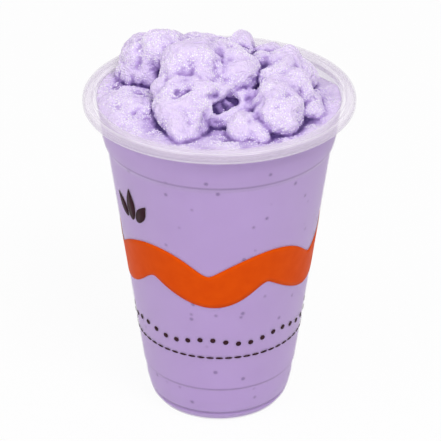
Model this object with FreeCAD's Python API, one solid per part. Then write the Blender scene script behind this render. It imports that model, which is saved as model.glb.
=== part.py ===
"""Taro slush heaped in a clear cold-drink cup.

The cup is one thin formed sheet. The slush fills it to just under the rim, and frozen lumps of the
same slush are heaped on top. Each piece is one closed solid, written to parts/NODE.step.
Millimetres, +Z up. The origin is the centre of the ring that the cup stands on, and -Y is the front.
"""
import FreeCAD
import Part

import math
import os
import random
from typing import NamedTuple

Vector = FreeCAD.Vector
UP = Vector(0, 0, 1)

# Cup: all radii and heights are those of the sheet's outer face.
SHEET = 0.5
CUP_HEIGHT = 120.0
RIM_RADIUS = 47.5
RIM_DROP = 4.3
RIM_TUCK = 2.6
RIM_TUCK_RISE = 1.4
MOUTH_RADIUS = 42.9
BASE_RISE = 3.0
BASE_PANEL_RADIUS = 18.6
FOOT_INNER_RADIUS = 19.8
FOOT_OUTER_RADIUS = 22.4
HEEL_RADIUS = 24.75
HEEL_HEIGHT = 3.3
GROOVE_DEPTH = 0.4
GROOVE_WIDTH = 0.9
WALL_FOOT_RADIUS = 25.35
WALL_FOOT_HEIGHT = 5.2
WALL_BEND_RADIUS = 26.35
WALL_BEND_HEIGHT = 9.5
LOWER_STEP_RADIUS = 27.0
LOWER_STEP_HEIGHT = 15.2
LOWER_STEP_OUT = 0.45
LOWER_STEP_RISE = 0.6
UPPER_STEP_RADIUS = 39.35
UPPER_STEP_HEIGHT = 101.2
UPPER_STEP_OUT = 1.1
UPPER_STEP_RISE = 2.0
SHOULDER_RADIUS = 41.1
SHOULDER_HEIGHT = 105.8

# Slush: its level is that of the flat part, before the swells.
FILL_LEVEL = 116.3
FILL_LIMIT = 118.6
FILL_CROWN = 12.0
SURFACE_HALF_WIDTH = 46.5
SURFACE_SPACING = 3.1
CUT_MARGIN = 30.0

# Lumps: how finely each one's skin is drawn, and how square its form is.
RINGS = 12
RING_POINTS = 22
LAST_RING_ANGLE = 83.0
CRAG_WAVES = 9
BOXINESS = 2.5
CRAG_DEPTH = 1.5


class Swell(NamedTuple):
    """A low rise or dip of the slush's surface."""

    x: float
    y: float
    height: float
    spread: float


class Lump(NamedTuple):
    """One frozen lump: its place, its radii along X, Y and Z, and its own form.

    lean dips its front end, turn swings it round, and taper makes its front end the narrower one.
    """

    centre: tuple
    radii: tuple
    turn: float
    lean: float
    taper: float
    crag: float
    seed: int


class Mass(NamedTuple):
    """Lumps that have frozen together into one piece of the heap."""

    name: str
    lumps: list


SWELLS = [
    Swell(-2.0, 9.0, 3.0, 14.0),
    Swell(-28.0, -8.0, 4.0, 7.5),
    Swell(-38.0, 10.0, 2.2, 10.0),
    Swell(36.0, 2.0, 1.2, 9.0),
    Swell(25.0, 30.0, -4.2, 9.0),
    Swell(0.0, -36.0, 0.6, 6.0),
    Swell(4.0, -12.0, -2.2, 7.0),
]

MASSES = [
    Mass(
        "lump_left",
        [
            Lump((-17.5, 15.5, 124.5), (9.5, 9.5, 11.5), 20.0, 10.0, 0.0, 0.13, 12),
            Lump((-26.8, 18.0, 123.0), (7.2, 8.5, 10.5), -15.0, 5.0, 0.05, 0.13, 22),
            Lump((-22.6, 14.5, 121.8), (8.0, 8.5, 11.0), 0.0, 8.0, 0.0, 0.15, 35),
            Lump((-27.8, 12.5, 119.8), (6.8, 6.5, 6.6), 0.0, 0.0, 0.05, 0.13, 19),
        ],
    ),
    Mass(
        "lump_centre",
        [
            Lump((-10.5, 3.0, 122.5), (12.0, 11.0, 13.0), 10.0, 15.0, 0.05, 0.13, 11),
            Lump((3.0, 5.0, 125.0), (10.0, 9.5, 9.5), -12.0, 20.0, 0.0, 0.16, 15),
            Lump((-10.8, -6.6, 124.8), (10.4, 6.6, 4.4), 4.0, 4.0, 0.0, 0.14, 31),
            Lump((0.5, -4.5, 120.2), (6.0, 6.5, 6.2), 20.0, 10.0, 0.0, 0.16, 32),
            Lump((-5.0, 13.0, 123.2), (11.0, 9.0, 8.5), 0.0, 10.0, 0.0, 0.15, 44),
            Lump((6.0, 15.0, 123.4), (7.5, 8.0, 7.2), 15.0, 5.0, 0.0, 0.16, 34),
            Lump((-3.5, 19.5, 121.9), (10.5, 9.5, 9.4), 25.0, 10.0, 0.0, 0.14, 63),
            Lump((7.5, 22.0, 124.8), (5.5, 6.5, 8.5), 0.0, 0.0, 0.0, 0.15, 20),
        ],
    ),
    Mass(
        "lump_right",
        [
            Lump((20.5, -13.5, 119.0), (8.3, 12.5, 8.5), 5.0, 8.0, 0.12, 0.12, 17),
            Lump((22.0, 7.0, 121.9), (8.5, 9.5, 8.5), -10.0, 15.0, 0.0, 0.15, 13),
            Lump((22.0, -3.0, 120.8), (8.8, 9.0, 8.3), 10.0, 10.0, 0.0, 0.15, 36),
            Lump((14.5, 10.0, 121.6), (7.5, 8.0, 7.4), 0.0, 10.0, 0.0, 0.16, 80),
            Lump((17.0, 17.0, 122.0), (6.0, 7.5, 7.0), 30.0, 0.0, 0.0, 0.16, 18),
            Lump((27.5, 12.5, 119.5), (5.5, 7.0, 6.0), 20.0, 10.0, 0.0, 0.16, 21),
        ],
    ),
    Mass("lump_tongue", [Lump((-12.0, -17.6, 117.6), (9.0, 13.2, 6.8), 3.0, 8.0, 0.42, 0.11, 16)]),
    Mass(
        "lump_middle",
        [
            Lump((9.5, -6.8, 118.6), (5.8, 6.8, 5.2), 0.0, 10.0, 0.0, 0.16, 23),
            Lump((5.0, -10.5, 116.8), (5.5, 5.5, 4.4), 15.0, 5.0, 0.0, 0.16, 60),
            Lump((0.8, -14.0, 116.0), (5.8, 5.5, 3.9), 25.0, 10.0, 0.0, 0.16, 25),
        ],
    ),
    Mass("lump_front", [Lump((10.8, -23.7, 116.3), (6.8, 8.3, 5.0), 12.0, 10.0, 0.1, 0.15, 24)]),
    Mass("lump_side", [Lump((30.3, -5.6, 117.2), (4.8, 7.8, 4.2), 10.0, 5.0, 0.0, 0.15, 26)]),
]


def line_meeting(first, second, third, offset):
    """The corner where the lines first-second and second-third meet once both move left by offset."""
    before = (second - first).normalize()
    after = (third - second).normalize()
    left_before = UP.cross(before)
    left_after = UP.cross(after)
    half_way = (left_before + left_after).normalize()
    return second + half_way * (offset / half_way.dot(left_before))


def offset_corners(corners, offset):
    """The same path moved left by offset: corners are (radius, height, fillet)."""
    points = [Vector(radius, height, 0) for radius, height, _ in corners]
    moved = []
    for index, (_, _, fillet) in enumerate(corners):
        if index == 0:
            direction = (points[1] - points[0]).normalize()
            place = points[0] + UP.cross(direction) * offset
        elif index == len(corners) - 1:
            direction = (points[-1] - points[-2]).normalize()
            place = points[-1] + UP.cross(direction) * offset
        else:
            place = line_meeting(points[index - 1], points[index], points[index + 1], offset)
            turn = (points[index] - points[index - 1]).cross(points[index + 1] - points[index]).z
            fillet = fillet - offset if turn > 0 else fillet + offset
        moved.append((place.x, place.y, fillet))
    return moved


def rounded_path(corners):
    """Edges of the path through the corners in the XZ plane, with an arc at each rounded corner."""
    points = [Vector(radius, 0, height) for radius, height, _ in corners]
    edges = []
    start = points[0]
    for index in range(1, len(points) - 1):
        back = (points[index - 1] - points[index]).normalize()
        ahead = (points[index + 1] - points[index]).normalize()
        half_angle = back.getAngle(ahead) / 2
        reach = corners[index][2] / math.tan(half_angle)
        enter = points[index] + back * reach
        leave = points[index] + ahead * reach
        bulge = corners[index][2] / math.sin(half_angle) - corners[index][2]
        middle = points[index] + (back + ahead).normalize() * bulge
        edges.append(Part.LineSegment(start, enter).toShape())
        edges.append(Part.Arc(enter, middle, leave).toShape())
        start = leave
    edges.append(Part.LineSegment(start, points[-1]).toShape())
    return edges


def revolved(edges):
    """The solid that the closed section edges sweep round the cup's axis."""
    section = Part.Face(Part.Wire(Part.__sortEdges__(edges)))
    return section.revolve(Vector(0, 0, 0), UP, 360)


def wall_corners():
    """Corners of the sheet's outer face from the middle of the base to the end of the rolled rim."""
    rim_face = RIM_RADIUS - SHEET
    rim_underside = CUP_HEIGHT - RIM_DROP + SHEET
    tuck = rim_face - RIM_TUCK
    return [
        (0.0, BASE_RISE, 0.0),
        (BASE_PANEL_RADIUS, BASE_RISE, 1.0),
        (FOOT_INNER_RADIUS, 0.0, 0.8),
        (FOOT_OUTER_RADIUS, 0.0, 2.2),
        (HEEL_RADIUS, HEEL_HEIGHT, 0.7),
        (HEEL_RADIUS - GROOVE_DEPTH, HEEL_HEIGHT + GROOVE_WIDTH, 0.3),
        (WALL_FOOT_RADIUS, WALL_FOOT_HEIGHT, 0.8),
        (WALL_BEND_RADIUS, WALL_BEND_HEIGHT, 9.0),
        (LOWER_STEP_RADIUS, LOWER_STEP_HEIGHT, 0.2),
        (LOWER_STEP_RADIUS + LOWER_STEP_OUT, LOWER_STEP_HEIGHT + LOWER_STEP_RISE, 0.6),
        (UPPER_STEP_RADIUS, UPPER_STEP_HEIGHT, 0.5),
        (UPPER_STEP_RADIUS + UPPER_STEP_OUT, UPPER_STEP_HEIGHT + UPPER_STEP_RISE, 1.0),
        (SHOULDER_RADIUS, SHOULDER_HEIGHT, 5.0),
        (MOUTH_RADIUS, CUP_HEIGHT - SHEET, 1.0),
        (rim_face, CUP_HEIGHT - SHEET, 1.0),
        (rim_face, rim_underside, 1.2),
        (tuck, rim_underside, 0.5),
        (tuck, rim_underside + RIM_TUCK_RISE, 0.0),
    ]


def make_cup():
    """The formed sheet: recessed base, foot, heel groove, two stacking steps and rolled rim."""
    outer = wall_corners()
    inner = offset_corners(outer, SHEET)
    outer_end, inner_end = outer[-1], inner[-1]
    edges = rounded_path(outer) + rounded_path(inner)
    edges.append(
        Part.LineSegment(
            Vector(outer_end[0], 0, outer_end[1]), Vector(inner_end[0], 0, inner_end[1])
        ).toShape()
    )
    edges.append(
        Part.LineSegment(Vector(0, 0, BASE_RISE), Vector(0, 0, BASE_RISE + SHEET)).toShape()
    )
    return revolved(edges)


def make_cavity():
    """The space inside the cup up to where slush may touch the wall, with a crown over it."""
    inner = offset_corners(wall_corners(), SHEET)
    shoulder = next(
        index for index, corner in enumerate(inner) if corner[1] > SHOULDER_HEIGHT - SHEET
    )
    low, high = inner[shoulder], inner[shoulder + 1]
    share = (FILL_LIMIT - low[1]) / (high[1] - low[1])
    rim_point = (low[0] + share * (high[0] - low[0]), FILL_LIMIT, 0.0)
    edges = rounded_path(inner[: shoulder + 1] + [rim_point])
    top = Vector(0, 0, FILL_LIMIT + FILL_CROWN)
    edges.append(Part.LineSegment(Vector(rim_point[0], 0, FILL_LIMIT), top).toShape())
    edges.append(Part.LineSegment(top, Vector(0, 0, BASE_RISE + SHEET)).toShape())
    return revolved(edges)


def surface_height(x, y):
    """Height of the slush's surface, with its swells and the edge that clings to the wall."""
    height = FILL_LEVEL
    for swell in SWELLS:
        distance = ((x - swell.x) ** 2 + (y - swell.y) ** 2) / (2 * swell.spread**2)
        height += swell.height * math.exp(-distance)
    cling = max(0.0, math.hypot(x, y) - MOUTH_RADIUS + 5.0)
    ripple = 0.35 * math.sin(0.45 * x + 0.8) * math.sin(0.5 * y - 0.4)
    return height + ripple + 0.02 * cling**2


def make_surface():
    """The slush's surface as one smooth face that reaches past the cup's wall all round."""
    count = int(2 * SURFACE_HALF_WIDTH / SURFACE_SPACING) + 1
    places = [-SURFACE_HALF_WIDTH + index * SURFACE_SPACING for index in range(count)]
    grid = [[Vector(x, y, surface_height(x, y)) for y in places] for x in places]
    surface = Part.BSplineSurface()
    surface.interpolate(grid)
    return surface.toShape()


def crag_waves(seed):
    """Random waves over the directions from a lump's middle: direction, pitch, phase and size."""
    source = random.Random(seed)
    waves = []
    for index in range(CRAG_WAVES):
        direction = Vector(source.gauss(0, 1), source.gauss(0, 1), source.gauss(0, 1)).normalize()
        pitch = 2.2 + 0.6 * index
        waves.append((direction, pitch, source.uniform(0, 2 * math.pi), 1.0 / (1 + 0.2 * index)))
    return waves


def lump_point(lump, latitude, longitude, waves):
    """A place on the lump's skin, round an axis that runs from its front end to its back end.

    Longitude 0 is underneath, so that the skin's seam lies where the lump is sunk.
    """
    direction = Vector(
        -math.cos(latitude) * math.sin(longitude),
        math.sin(latitude),
        -math.cos(latitude) * math.cos(longitude),
    )
    ratios = [abs(part) / radius for part, radius in zip(direction, lump.radii)]
    reach = sum(ratio**BOXINESS for ratio in ratios) ** (-1 / BOXINESS)
    rough = sum(
        size * (math.sin(pitch * direction.dot(wave) + phase) - math.sin(phase) * math.sin(pitch) / pitch)
        for wave, pitch, phase, size in waves
    )
    depth = CRAG_DEPTH * lump.crag / math.sqrt(CRAG_WAVES)
    point = direction * (reach * (1 + depth * rough))
    width = 1 + lump.taper * point.y / lump.radii[1]
    return Vector(point.x * width, point.y, point.z * width)


def ring_wire(points):
    """A smooth closed ring through the points, as two half rings so that no skin closes on itself."""
    count = len(points)
    edges = []
    for start, end in ((0, count // 2), (count // 2, count)):
        half = Part.BSplineCurve()
        half.interpolate(
            Points=points, PeriodicFlag=True, Parameters=[float(k) for k in range(count + 1)]
        )
        half.setNotPeriodic()
        half.segment(float(start), float(end))
        edges.append(half.toShape())
    return Part.Wire(edges)


def make_lump(lump):
    """A closed lump, skinned smoothly over rough rings round its own axis."""
    waves = crag_waves(lump.seed)
    last = math.radians(LAST_RING_ANGLE)
    sections = [Part.Vertex(lump_point(lump, -math.pi / 2, 0.0, waves))]
    for ring in range(RINGS):
        latitude = last * (2 * ring / (RINGS - 1) - 1)
        points = [
            lump_point(lump, latitude, 2 * math.pi * step / RING_POINTS, waves)
            for step in range(RING_POINTS)
        ]
        sections.append(ring_wire(points))
    sections.append(Part.Vertex(lump_point(lump, math.pi / 2, 0.0, waves)))
    solid = Part.makeLoft(sections, True, False)
    solid.rotate(Vector(0, 0, 0), Vector(1, 0, 0), lump.lean)
    solid.rotate(Vector(0, 0, 0), UP, lump.turn)
    solid.translate(Vector(*lump.centre))
    return solid


def largest_solid(shape):
    """The largest of the solids in a shape, which drops crumbs that a cut leaves."""
    return max(shape.Solids, key=lambda solid: solid.Volume)


def make_mass(mass):
    """The lumps of a mass, frozen together into one solid."""
    solid = make_lump(mass.lumps[0])
    for lump in mass.lumps[1:]:
        solid = solid.fuse(make_lump(lump))
    return solid


def make_heap(slush):
    """The masses by name, each cut where it sinks into the slush or an earlier mass."""
    heap = {}
    for mass in MASSES:
        solid = make_mass(mass).cut(slush)
        for other in heap.values():
            if solid.BoundBox.intersect(other.BoundBox):
                solid = solid.cut(other)
        heap[mass.name] = largest_solid(solid)
    return heap


def main():
    """Builds every piece and writes it."""
    os.makedirs("parts", exist_ok=True)
    surface = make_surface()
    air = surface.extrude(UP * CUT_MARGIN)
    slush = largest_solid(make_cavity().cut(air))
    pieces = {"cup": make_cup(), "slush": slush}
    pieces.update(make_heap(slush))
    for name, shape in pieces.items():
        print(
            f"{name}: valid {shape.isValid()}, solids {len(shape.Solids)}, faces {len(shape.Faces)},"
            f" volume {shape.Volume / 1000:.2f} ml"
        )
        shape.exportStep(f"parts/{name}.step")


main()
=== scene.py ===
"""Looks of a taro slush in its frosted plastic cup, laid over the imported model's frame.

Everything is in metres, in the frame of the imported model: +Z up, with the origin at the centre of the
cup's foot ring, and -Y the front. Sizes of the cup's sheet and of its print are given in millimetres,
as a cup maker draws them, and turned to metres where a mesh is made.
"""

import logging
import math
from dataclasses import dataclass
from enum import Enum
from typing import Sequence

import bmesh
import bpy
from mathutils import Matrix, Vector


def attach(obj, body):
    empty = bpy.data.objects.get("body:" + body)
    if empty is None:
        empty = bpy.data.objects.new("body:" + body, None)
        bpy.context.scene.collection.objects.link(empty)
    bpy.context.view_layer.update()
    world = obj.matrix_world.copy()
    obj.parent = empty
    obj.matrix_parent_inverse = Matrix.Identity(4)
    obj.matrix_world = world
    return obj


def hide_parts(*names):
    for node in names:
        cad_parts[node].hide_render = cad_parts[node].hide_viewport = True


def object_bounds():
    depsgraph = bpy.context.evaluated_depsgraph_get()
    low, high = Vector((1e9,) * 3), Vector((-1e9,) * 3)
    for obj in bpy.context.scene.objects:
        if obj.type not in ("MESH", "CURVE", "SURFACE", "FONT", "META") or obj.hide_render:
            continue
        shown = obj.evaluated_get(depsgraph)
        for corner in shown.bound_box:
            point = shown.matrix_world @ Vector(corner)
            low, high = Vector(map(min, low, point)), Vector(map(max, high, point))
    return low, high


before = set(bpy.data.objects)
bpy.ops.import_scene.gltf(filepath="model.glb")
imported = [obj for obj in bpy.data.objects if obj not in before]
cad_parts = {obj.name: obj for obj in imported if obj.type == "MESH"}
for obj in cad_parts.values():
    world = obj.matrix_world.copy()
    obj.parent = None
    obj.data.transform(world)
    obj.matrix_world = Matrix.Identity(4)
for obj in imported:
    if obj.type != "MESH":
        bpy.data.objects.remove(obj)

MM = 0.001
ROOT_BODY = "root"
CAD_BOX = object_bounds()

SAME_PLACE = 1e-6
MILK_SCATTER = (1.0, 0.75, 1.2)
RELIEF = "relief"
HOLLOW = "hollow"

Socket = bpy.types.NodeSocket
Outputs = bpy.types.NodeOutputs
NodeTree = bpy.types.NodeTree
Material = bpy.types.Material
Piece = bpy.types.Object
Skin = bmesh.types.BMesh

LOG = logging.getLogger("taro_slush")


class Slot(Enum):
    """The record's material slots."""

    CUP = "cup"
    SLUSH = "slush"
    LUMP = "frozen_lump"


class Ink(Enum):
    """The two inks of the cup's print."""

    ORANGE = "orange"
    DARK = "dark"


class Plug(Enum):
    """Kinds of tree inputs and outputs that hold no number."""

    SHAPE = "NodeSocketGeometry"
    MATERIAL = "NodeSocketMaterial"


def srgb(red: int, green: int, blue: int) -> tuple[float, float, float, float]:
    """Turns a screen colour into the linear colour that a shader takes.

    Args:
        red: Red, from 0 to 255.
        green: Green, from 0 to 255.
        blue: Blue, from 0 to 255.

    Returns:
        The linear red, green and blue, and an alpha of 1.
    """
    parts = []
    for value in (red, green, blue):
        share = value / 255
        parts.append(share / 12.92 if share <= 0.04045 else ((share + 0.055) / 1.055) ** 2.4)
    return (parts[0], parts[1], parts[2], 1.0)


# ----- Small helpers for node trees and meshes -----


class Tree:
    """A node tree with short calls for adding and joining nodes.

    A value that a node is given may be a socket, which it reads, or a plain value, which it holds.
    """

    def __init__(self, tree: NodeTree) -> None:
        """Keeps the tree that nodes are added to."""
        self.tree = tree

    def link(self, source: Socket, target: Socket) -> None:
        """Joins an output to an input."""
        self.tree.links.new(source, target)

    def fill(self, target: bpy.types.Node, inputs: dict) -> bpy.types.Node:
        """Gives a node's inputs their values.

        Args:
            target: The node.
            inputs: The value of each input, by its name or its index.

        Returns:
            The node.
        """
        for label, value in inputs.items():
            if isinstance(value, Socket):
                self.link(value, target.inputs[label])
            else:
                target.inputs[label].default_value = value
        return target

    def node(self, kind: str, inputs: dict | None = None, **settings: object) -> bpy.types.Node:
        """Adds a node.

        Args:
            kind: The node's Blender type name.
            inputs: The value of each input, by its name or its index.
            settings: Properties to set on it.

        Returns:
            The new node.
        """
        made = self.tree.nodes.new(kind)
        for name, value in settings.items():
            setattr(made, name, value)
        return self.fill(made, inputs or {})

    def read(self, kind: str, inputs: dict | None = None, **settings: object) -> Socket:
        """Adds a node, as above, and returns its first output."""
        return self.node(kind, inputs, **settings).outputs[0]

    def math(self, operation: str, *values: object, clamp: bool = False) -> Socket:
        """Works a sum out from left to right, with as many Math nodes as it takes.

        Args:
            operation: The operation's name.
            values: The values.
            clamp: Whether each result is kept between 0 and 1.

        Returns:
            The result.
        """
        settings = {"operation": operation, "use_clamp": clamp}
        if len(values) == 1:
            return self.read("ShaderNodeMath", {0: values[0]}, **settings)
        total = values[0]
        for value in values[1:]:
            total = self.read("ShaderNodeMath", {0: total, 1: value}, **settings)
        return total

    def spread(
        self,
        value: Socket,
        low: object,
        high: object,
        to_low: object = 0.0,
        to_high: object = 1.0,
        curve: str = "LINEAR",
    ) -> Socket:
        """Maps a range onto another, clamped.

        Args:
            value: The value to map.
            low: The lowest value that counts.
            high: The highest value that counts.
            to_low: What the lowest becomes.
            to_high: What the highest becomes.
            curve: How it runs from one to the other.

        Returns:
            The mapped value.
        """
        labels = ("Value", "From Min", "From Max", "To Min", "To Max")
        inputs = dict(zip(labels, (value, low, high, to_low, to_high)))
        return self.node("ShaderNodeMapRange", inputs, interpolation_type=curve).outputs["Result"]

    def mix(self, share: object, first: object, second: object) -> Socket:
        """Mixes two colours.

        Args:
            share: How much of the second, from 0 to 1.
            first: The first colour.
            second: The second colour.

        Returns:
            The mixed colour.
        """
        inputs = {0: share, 6: first, 7: second}
        return self.node("ShaderNodeMix", inputs, data_type="RGBA").outputs[2]

    def axes(self, vector: Socket) -> Outputs:
        """Splits a vector into its X, Y and Z."""
        return self.node("ShaderNodeSeparateXYZ", {0: vector}).outputs

    def across(self, axes: Outputs) -> Socket:
        """Returns how far a place is from the upright axis."""
        flat = self.read("ShaderNodeCombineXYZ", {"X": axes["X"], "Y": axes["Y"]})
        return self.vector("LENGTH", flat)["Value"]

    def vector(self, operation: str, *values: object) -> Outputs:
        """Adds a Vector Math node.

        Args:
            operation: The operation's name.
            values: The values.

        Returns:
            Its outputs.
        """
        return self.node("ShaderNodeVectorMath", dict(enumerate(values)), operation=operation).outputs

    def noise(self, place: Socket, size: object, detail: float, twist: float = 0.0) -> Socket:
        """Adds a noise, from 0 to 1.

        Args:
            place: Where it is read.
            size: The size of its features, in metres.
            detail: How many finer layers it has.
            twist: How much it is distorted.

        Returns:
            The noise's value.
        """
        scale = self.math("DIVIDE", 1.0, size)
        inputs = {"Vector": place, "Scale": scale, "Detail": detail, "Distortion": twist}
        return self.read("ShaderNodeTexNoise", inputs)

    def cells(self, place: Socket, scale: object) -> tuple:
        """Adds a pattern of cells.

        Args:
            place: Where it is read.
            scale: How many cells a metre holds.

        Returns:
            The distance from a cell's middle, and a number from 0 to 1 that each cell has drawn.
        """
        made = self.node("ShaderNodeTexVoronoi", {"Vector": place, "Scale": scale}, feature="F1")
        drawn = self.read("ShaderNodeSeparateColor", {0: made.outputs["Color"]})
        return made.outputs["Distance"], drawn

    def object_place(self) -> Socket:
        """Returns the place on the object, in a shader."""
        return self.node("ShaderNodeTexCoord").outputs["Object"]

    def copies(self, inputs: dict, material: object) -> Socket:
        """Copies a shape onto points, as real geometry of one material.

        Args:
            inputs: What the node that copies is given.
            material: The material.

        Returns:
            The copies.
        """
        made = self.read("GeometryNodeInstanceOnPoints", inputs)
        real = self.read("GeometryNodeRealizeInstances", {0: made})
        return self.read("GeometryNodeSetMaterial", {"Geometry": real, "Material": material})


def new_tree(kind: str, name: str, inputs: dict, outputs: dict) -> tuple:
    """Starts a node tree.

    Args:
        kind: The tree's Blender type name.
        name: The tree's name.
        inputs: Each input's name, with its default number or its kind.
        outputs: Each output's name, with a number or its kind.

    Returns:
        The tree, the sockets of its inputs and its output node.
    """
    made = Tree(bpy.data.node_groups.new(name, kind))
    numbers = {float: "NodeSocketFloat", int: "NodeSocketInt"}
    for way, sockets in (("INPUT", inputs), ("OUTPUT", outputs)):
        for label, value in sockets.items():
            plug = value.value if isinstance(value, Plug) else numbers[type(value)]
            socket = made.tree.interface.new_socket(label, in_out=way, socket_type=plug)
            if not isinstance(value, Plug):
                socket.default_value = value
    return made, made.node("NodeGroupInput").outputs, made.node("NodeGroupOutput")


def geometry_tree(name: str, inputs: dict) -> tuple:
    """Starts a Geometry Nodes tree that turns one shape into another.

    Args:
        name: The tree's name.
        inputs: Each further input's name, with its default number or its kind.

    Returns:
        The tree, the sockets of its inputs and its output node.
    """
    shape = {"Geometry": Plug.SHAPE}
    return new_tree("GeometryNodeTree", name, shape | inputs, shape)


def new_material(name: str) -> tuple[Material, Tree, bpy.types.Node]:
    """Makes a node-based material.

    Args:
        name: The material's name.

    Returns:
        The material, its tree and its Principled BSDF.
    """
    made = bpy.data.materials.new(name)
    made.use_nodes = True
    return made, Tree(made.node_tree), made.node_tree.nodes["Principled BSDF"]


def placed(name: str, data: bpy.types.ID) -> Piece:
    """Puts a mesh, a lamp or a camera into the scene, at the origin.

    Args:
        name: The object's name.
        data: What it holds.

    Returns:
        The object.
    """
    made = bpy.data.objects.new(name, data)
    bpy.context.scene.collection.objects.link(made)
    return made


def mesh_object(name: str, vertices: Sequence, faces: Sequence) -> Piece:
    """Makes a mesh object at the origin.

    Args:
        name: Its name.
        vertices: Places, in metres.
        faces: Corner indices of each face.

    Returns:
        The object, shaded smooth, with its faces pointing outwards.
    """
    mesh = bpy.data.meshes.new(name)
    mesh.from_pydata([tuple(place) for place in vertices], [], [tuple(face) for face in faces])
    body = bmesh.new()
    body.from_mesh(mesh)
    bmesh.ops.recalc_face_normals(body, faces=body.faces)
    body.to_mesh(mesh)
    body.free()
    mesh.shade_smooth()
    return placed(name, mesh)


def baked(source: Piece, name: str) -> Piece:
    """Turns an object with its modifiers into a plain mesh object.

    Args:
        source: The object, which is removed.
        name: The new object's name.

    Returns:
        The plain object.
    """
    graph = bpy.context.evaluated_depsgraph_get()
    mesh = bpy.data.meshes.new_from_object(source.evaluated_get(graph))
    old_mesh = source.data
    bpy.data.objects.remove(source)
    bpy.data.meshes.remove(old_mesh)
    mesh.name = name
    return placed(name, mesh)


def run_tree(source: Piece, tree: NodeTree, name: str, inputs: dict | None = None) -> Piece:
    """Bakes a Geometry Nodes tree on an object.

    Args:
        source: The object to run it on, which is removed.
        tree: The tree.
        name: The new object's name.
        inputs: Values for the tree's named inputs, where they differ from its own.

    Returns:
        The plain result.
    """
    modifier = source.modifiers.new(tree.name, "NODES")
    modifier.node_group = tree
    for item in tree.interface.items_tree:
        if inputs and item.item_type == "SOCKET" and item.in_out == "INPUT" and item.name in inputs:
            modifier[item.identifier] = inputs[item.name]
    return baked(source, name)


def dress(piece: Piece, slot: Slot, *materials: Material) -> None:
    """Gives a finished piece its materials and its body.

    Args:
        piece: The piece, in place.
        slot: The record's slot that it belongs to; not used.
        materials: Its materials, in the order of its faces' indices.
    """
    piece.data.materials.clear()
    for material in materials:
        piece.data.materials.append(material)
    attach(piece, ROOT_BODY)
    LOG.info("%s: %d faces", piece.name, len(piece.data.polygons))


# ----- Shader groups that several finishes share -----


@dataclass(frozen=True)
class GrainGroup:
    """Fine crushed-ice grain: a height for bumps and a mask of the brightest crystals, which the slush
    paints white as ice with a painted glint.
    """

    name: str = "ice_grain"
    detail: float = 3.0
    noise_share: float = 0.45
    cell_weight: float = -0.6
    crystal_reach: float = 0.38

    def build(self) -> NodeTree:
        """Builds the group once and returns it."""
        if self.name in bpy.data.node_groups:
            return bpy.data.node_groups[self.name]
        inputs = {"Grain Size": 0.0006, "Sparkle": 0.1}
        outputs = {"Height": 0.0, "Crystals": 0.0}
        made, given, result = new_tree("ShaderNodeTree", self.name, inputs, outputs)
        place = made.object_place()
        scale = made.math("DIVIDE", 1.0, given["Grain Size"])
        distance, drawn = made.cells(place, scale)
        coarser = made.math("MULTIPLY", scale, self.noise_share)
        inputs = {"Vector": place, "Scale": coarser, "Detail": self.detail}
        noise = made.read("ShaderNodeTexNoise", inputs)
        height = made.math("ADD", made.math("MULTIPLY", distance, self.cell_weight), noise)
        crystal_glint = made.math("GREATER_THAN", drawn, made.math("SUBTRACT", 1.0, given["Sparkle"]))
        near = made.math("LESS_THAN", distance, self.crystal_reach)
        made.fill(result, {"Height": height, "Crystals": made.math("MULTIPLY", crystal_glint, near)})
        return made.tree


@dataclass(frozen=True)
class MottleGroup:
    """Broad, soft patches: where a surface runs a little lighter or darker."""

    name: str = "soft_mottle"
    detail: float = 4.0

    def build(self) -> NodeTree:
        """Builds the group once and returns it."""
        if self.name in bpy.data.node_groups:
            return bpy.data.node_groups[self.name]
        inputs = {"Patch Size": 0.01, "Contrast": 1.0}
        made, given, result = new_tree("ShaderNodeTree", self.name, inputs, {"Mask": 0.0})
        noise = made.noise(made.object_place(), given["Patch Size"], self.detail)
        shaped = made.math("MULTIPLY", made.math("SUBTRACT", noise, 0.5), given["Contrast"])
        made.fill(result, {"Mask": made.math("ADD", shaped, 0.5, clamp=True)})
        return made.tree


@dataclass(frozen=True)
class Mottle:
    """How coarse and how strong a finish's soft patches are. The size is in metres."""

    size: float
    contrast: float

    def mask(self, tree: Tree) -> Socket:
        """Adds the patches to a material's tree and returns their mask."""
        inputs = {"Patch Size": self.size, "Contrast": self.contrast}
        return tree.node("ShaderNodeGroup", inputs, node_tree=MottleGroup().build()).outputs["Mask"]


# ----- Finishes. Ranges are a low and a high value; lengths are in metres -----


@dataclass(frozen=True)
class PaintedRimLine:
    """A fine ring on the rim where the rolled sheet turns, across its top or round its side, with its
    painted highlight and its painted shade.
    """

    across: bool
    place: float
    half_width: float
    bright: float
    dark: float = 0.0


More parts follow.
